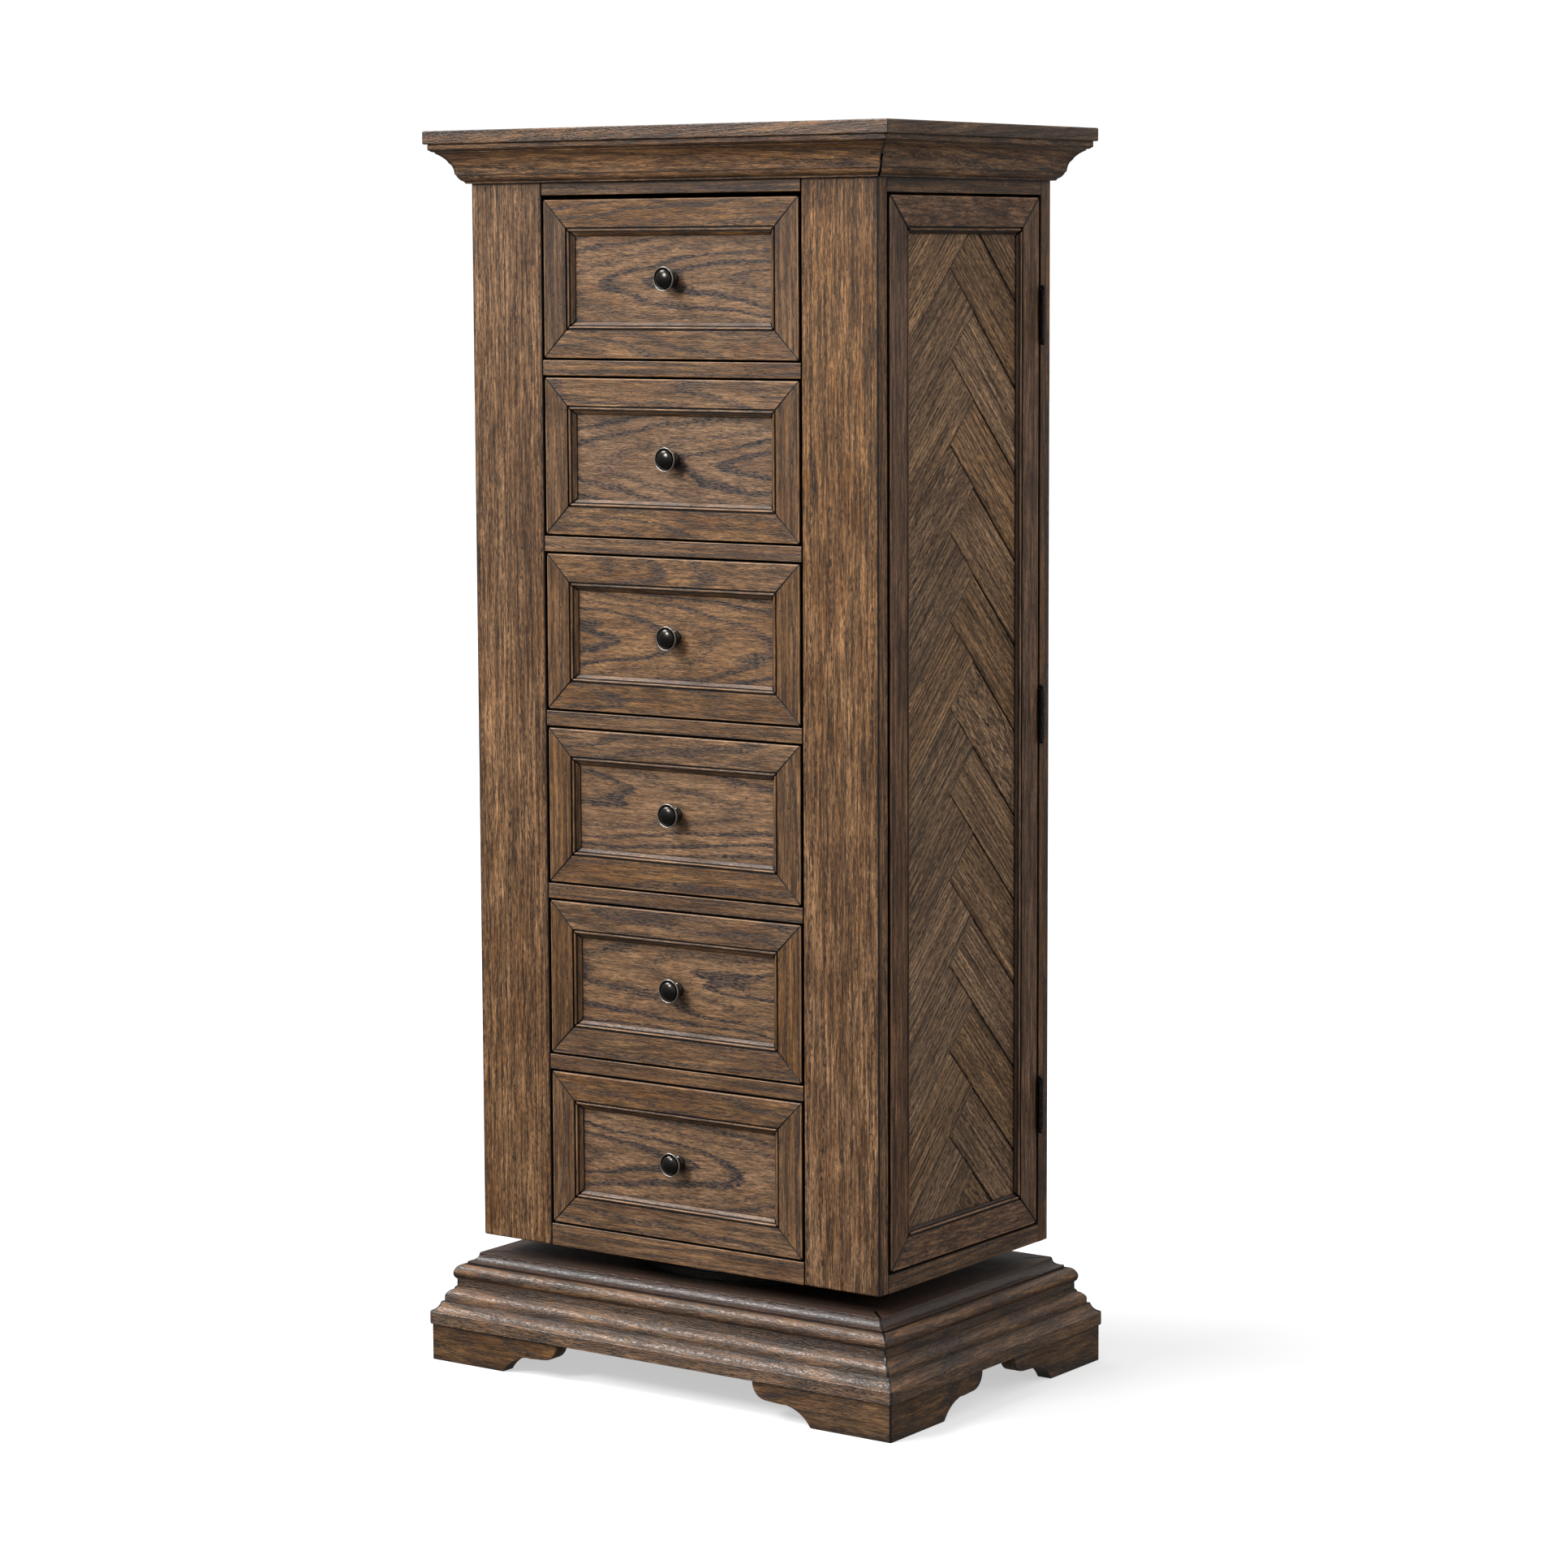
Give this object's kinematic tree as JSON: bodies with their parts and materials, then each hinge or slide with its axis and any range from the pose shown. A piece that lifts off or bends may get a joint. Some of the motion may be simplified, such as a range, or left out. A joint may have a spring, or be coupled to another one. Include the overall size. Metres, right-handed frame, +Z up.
{
  "type": "jewelry armoire",
  "caption": "Tall swivelling jewelry armoire: drawers in front, hinged side doors over hanging compartments, mirrored back, moulded crown and base on bracket feet.",
  "frame": {"origin": "centre of the footprint on the floor", "axes": "+Z up; the drawers face -Y; +X is the viewer's right, looking at the drawers"},
  "size_m": [0.65, 0.4406, 1.422],
  "materials": {
    "walnut": "satin, wire-brushed brown stain with dark grain",
    "walnut_panel": "satin, wire-brushed brown stain with dark grain",
    "herringbone": "satin, greyer brown planks laid as a herringbone",
    "interior_wood": "plain sealed boards",
    "bronze": "dark bronze, rubbed bright on the rings",
    "black_metal": "black satin",
    "steel": "zinc plated",
    "mirror": "silvered glass",
    "glide_nylon": "matt",
    "catch_plastic": "matt"
  },
  "bodies": {
    "base": {"base_platform": "walnut", "base_moulding": "walnut", "front_left_foot": "walnut", "front_right_foot": "walnut", "back_left_foot": "walnut", "back_right_foot": "walnut", "foot_glides": "glide_nylon", "swivel_lower_race": "steel"},
    "ball_ring": {"swivel_ball_ring": "steel"},
    "cabinet": {"swivel_upper_race": "steel", "cabinet_bottom": "interior_wood", "cabinet_ceiling": "interior_wood", "front_frame": "walnut", "side_rails": "walnut", "back_frame": "walnut", "drawer_partitions": "interior_wood", "top_board": "walnut", "cornice": "walnut", "mirror_backing": "interior_wood", "mirror_glass": "mirror", "slide_rails": "steel", "necklace_hooks": "black_metal", "door_catches": "catch_plastic", "cabinet_hinge_leaves": "black_metal"},
    "left_door": {"left_door_frame": "walnut", "left_door_panel": "herringbone", "left_door_hardware": "black_metal"},
    "right_door": {"right_door_frame": "walnut", "right_door_panel": "herringbone", "right_door_hardware": "black_metal"},
    "drawer_1": {"drawer_1_front_frame": "walnut", "drawer_1_front_panel": "walnut_panel", "drawer_1_box": "interior_wood", "drawer_1_runners": "steel", "drawer_1_knob": "bronze"},
    "drawer_2": {"drawer_2_front_frame": "walnut", "drawer_2_front_panel": "walnut_panel", "drawer_2_box": "interior_wood", "drawer_2_runners": "steel", "drawer_2_knob": "bronze"},
    "drawer_3": {"drawer_3_front_frame": "walnut", "drawer_3_front_panel": "walnut_panel", "drawer_3_box": "interior_wood", "drawer_3_runners": "steel", "drawer_3_knob": "bronze"},
    "drawer_4": {"drawer_4_front_frame": "walnut", "drawer_4_front_panel": "walnut_panel", "drawer_4_box": "interior_wood", "drawer_4_runners": "steel", "drawer_4_knob": "bronze"},
    "drawer_5": {"drawer_5_front_frame": "walnut", "drawer_5_front_panel": "walnut_panel", "drawer_5_box": "interior_wood", "drawer_5_runners": "steel", "drawer_5_knob": "bronze"},
    "drawer_6": {"drawer_6_front_frame": "walnut", "drawer_6_front_panel": "walnut_panel", "drawer_6_box": "interior_wood", "drawer_6_runners": "steel", "drawer_6_knob": "bronze"}
  },
  "joints": [
    {"name": "swivel", "type": "hinge", "parent": "base", "child": "cabinet", "pos_m": [0, 0, 0.13585], "axis": [0, 0, 1], "continuous": true},
    {"name": "ball_ring_roll", "type": "hinge", "parent": "base", "child": "ball_ring", "pos_m": [0, 0, 0.13585], "axis": [0, 0, 1], "continuous": true},
    {"name": "drawer_1_slide", "type": "slide", "parent": "cabinet", "child": "drawer_1", "axis": [0, -1, 0], "range_m": [0, 0.19]},
    {"name": "drawer_2_slide", "type": "slide", "parent": "cabinet", "child": "drawer_2", "axis": [0, -1, 0], "range_m": [0, 0.19]},
    {"name": "drawer_3_slide", "type": "slide", "parent": "cabinet", "child": "drawer_3", "axis": [0, -1, 0], "range_m": [0, 0.19]},
    {"name": "drawer_4_slide", "type": "slide", "parent": "cabinet", "child": "drawer_4", "axis": [0, -1, 0], "range_m": [0, 0.19]},
    {"name": "drawer_5_slide", "type": "slide", "parent": "cabinet", "child": "drawer_5", "axis": [0, -1, 0], "range_m": [0, 0.19]},
    {"name": "drawer_6_slide", "type": "slide", "parent": "cabinet", "child": "drawer_6", "axis": [0, -1, 0], "range_m": [0, 0.19]},
    {"name": "right_door_hinge", "type": "hinge", "parent": "cabinet", "child": "right_door", "pos_m": [0.2825, 0.15215, 0.757], "axis": [0, 0, 1], "range_deg": [0, 120]},
    {"name": "left_door_hinge", "type": "hinge", "parent": "cabinet", "child": "left_door", "pos_m": [-0.2825, 0.15215, 0.757], "axis": [0, 0, -1], "range_deg": [0, 120]}
  ],
  "couplings": [
    {"joint": "ball_ring_roll", "follows": "swivel", "ratio": 0.5}
  ]
}
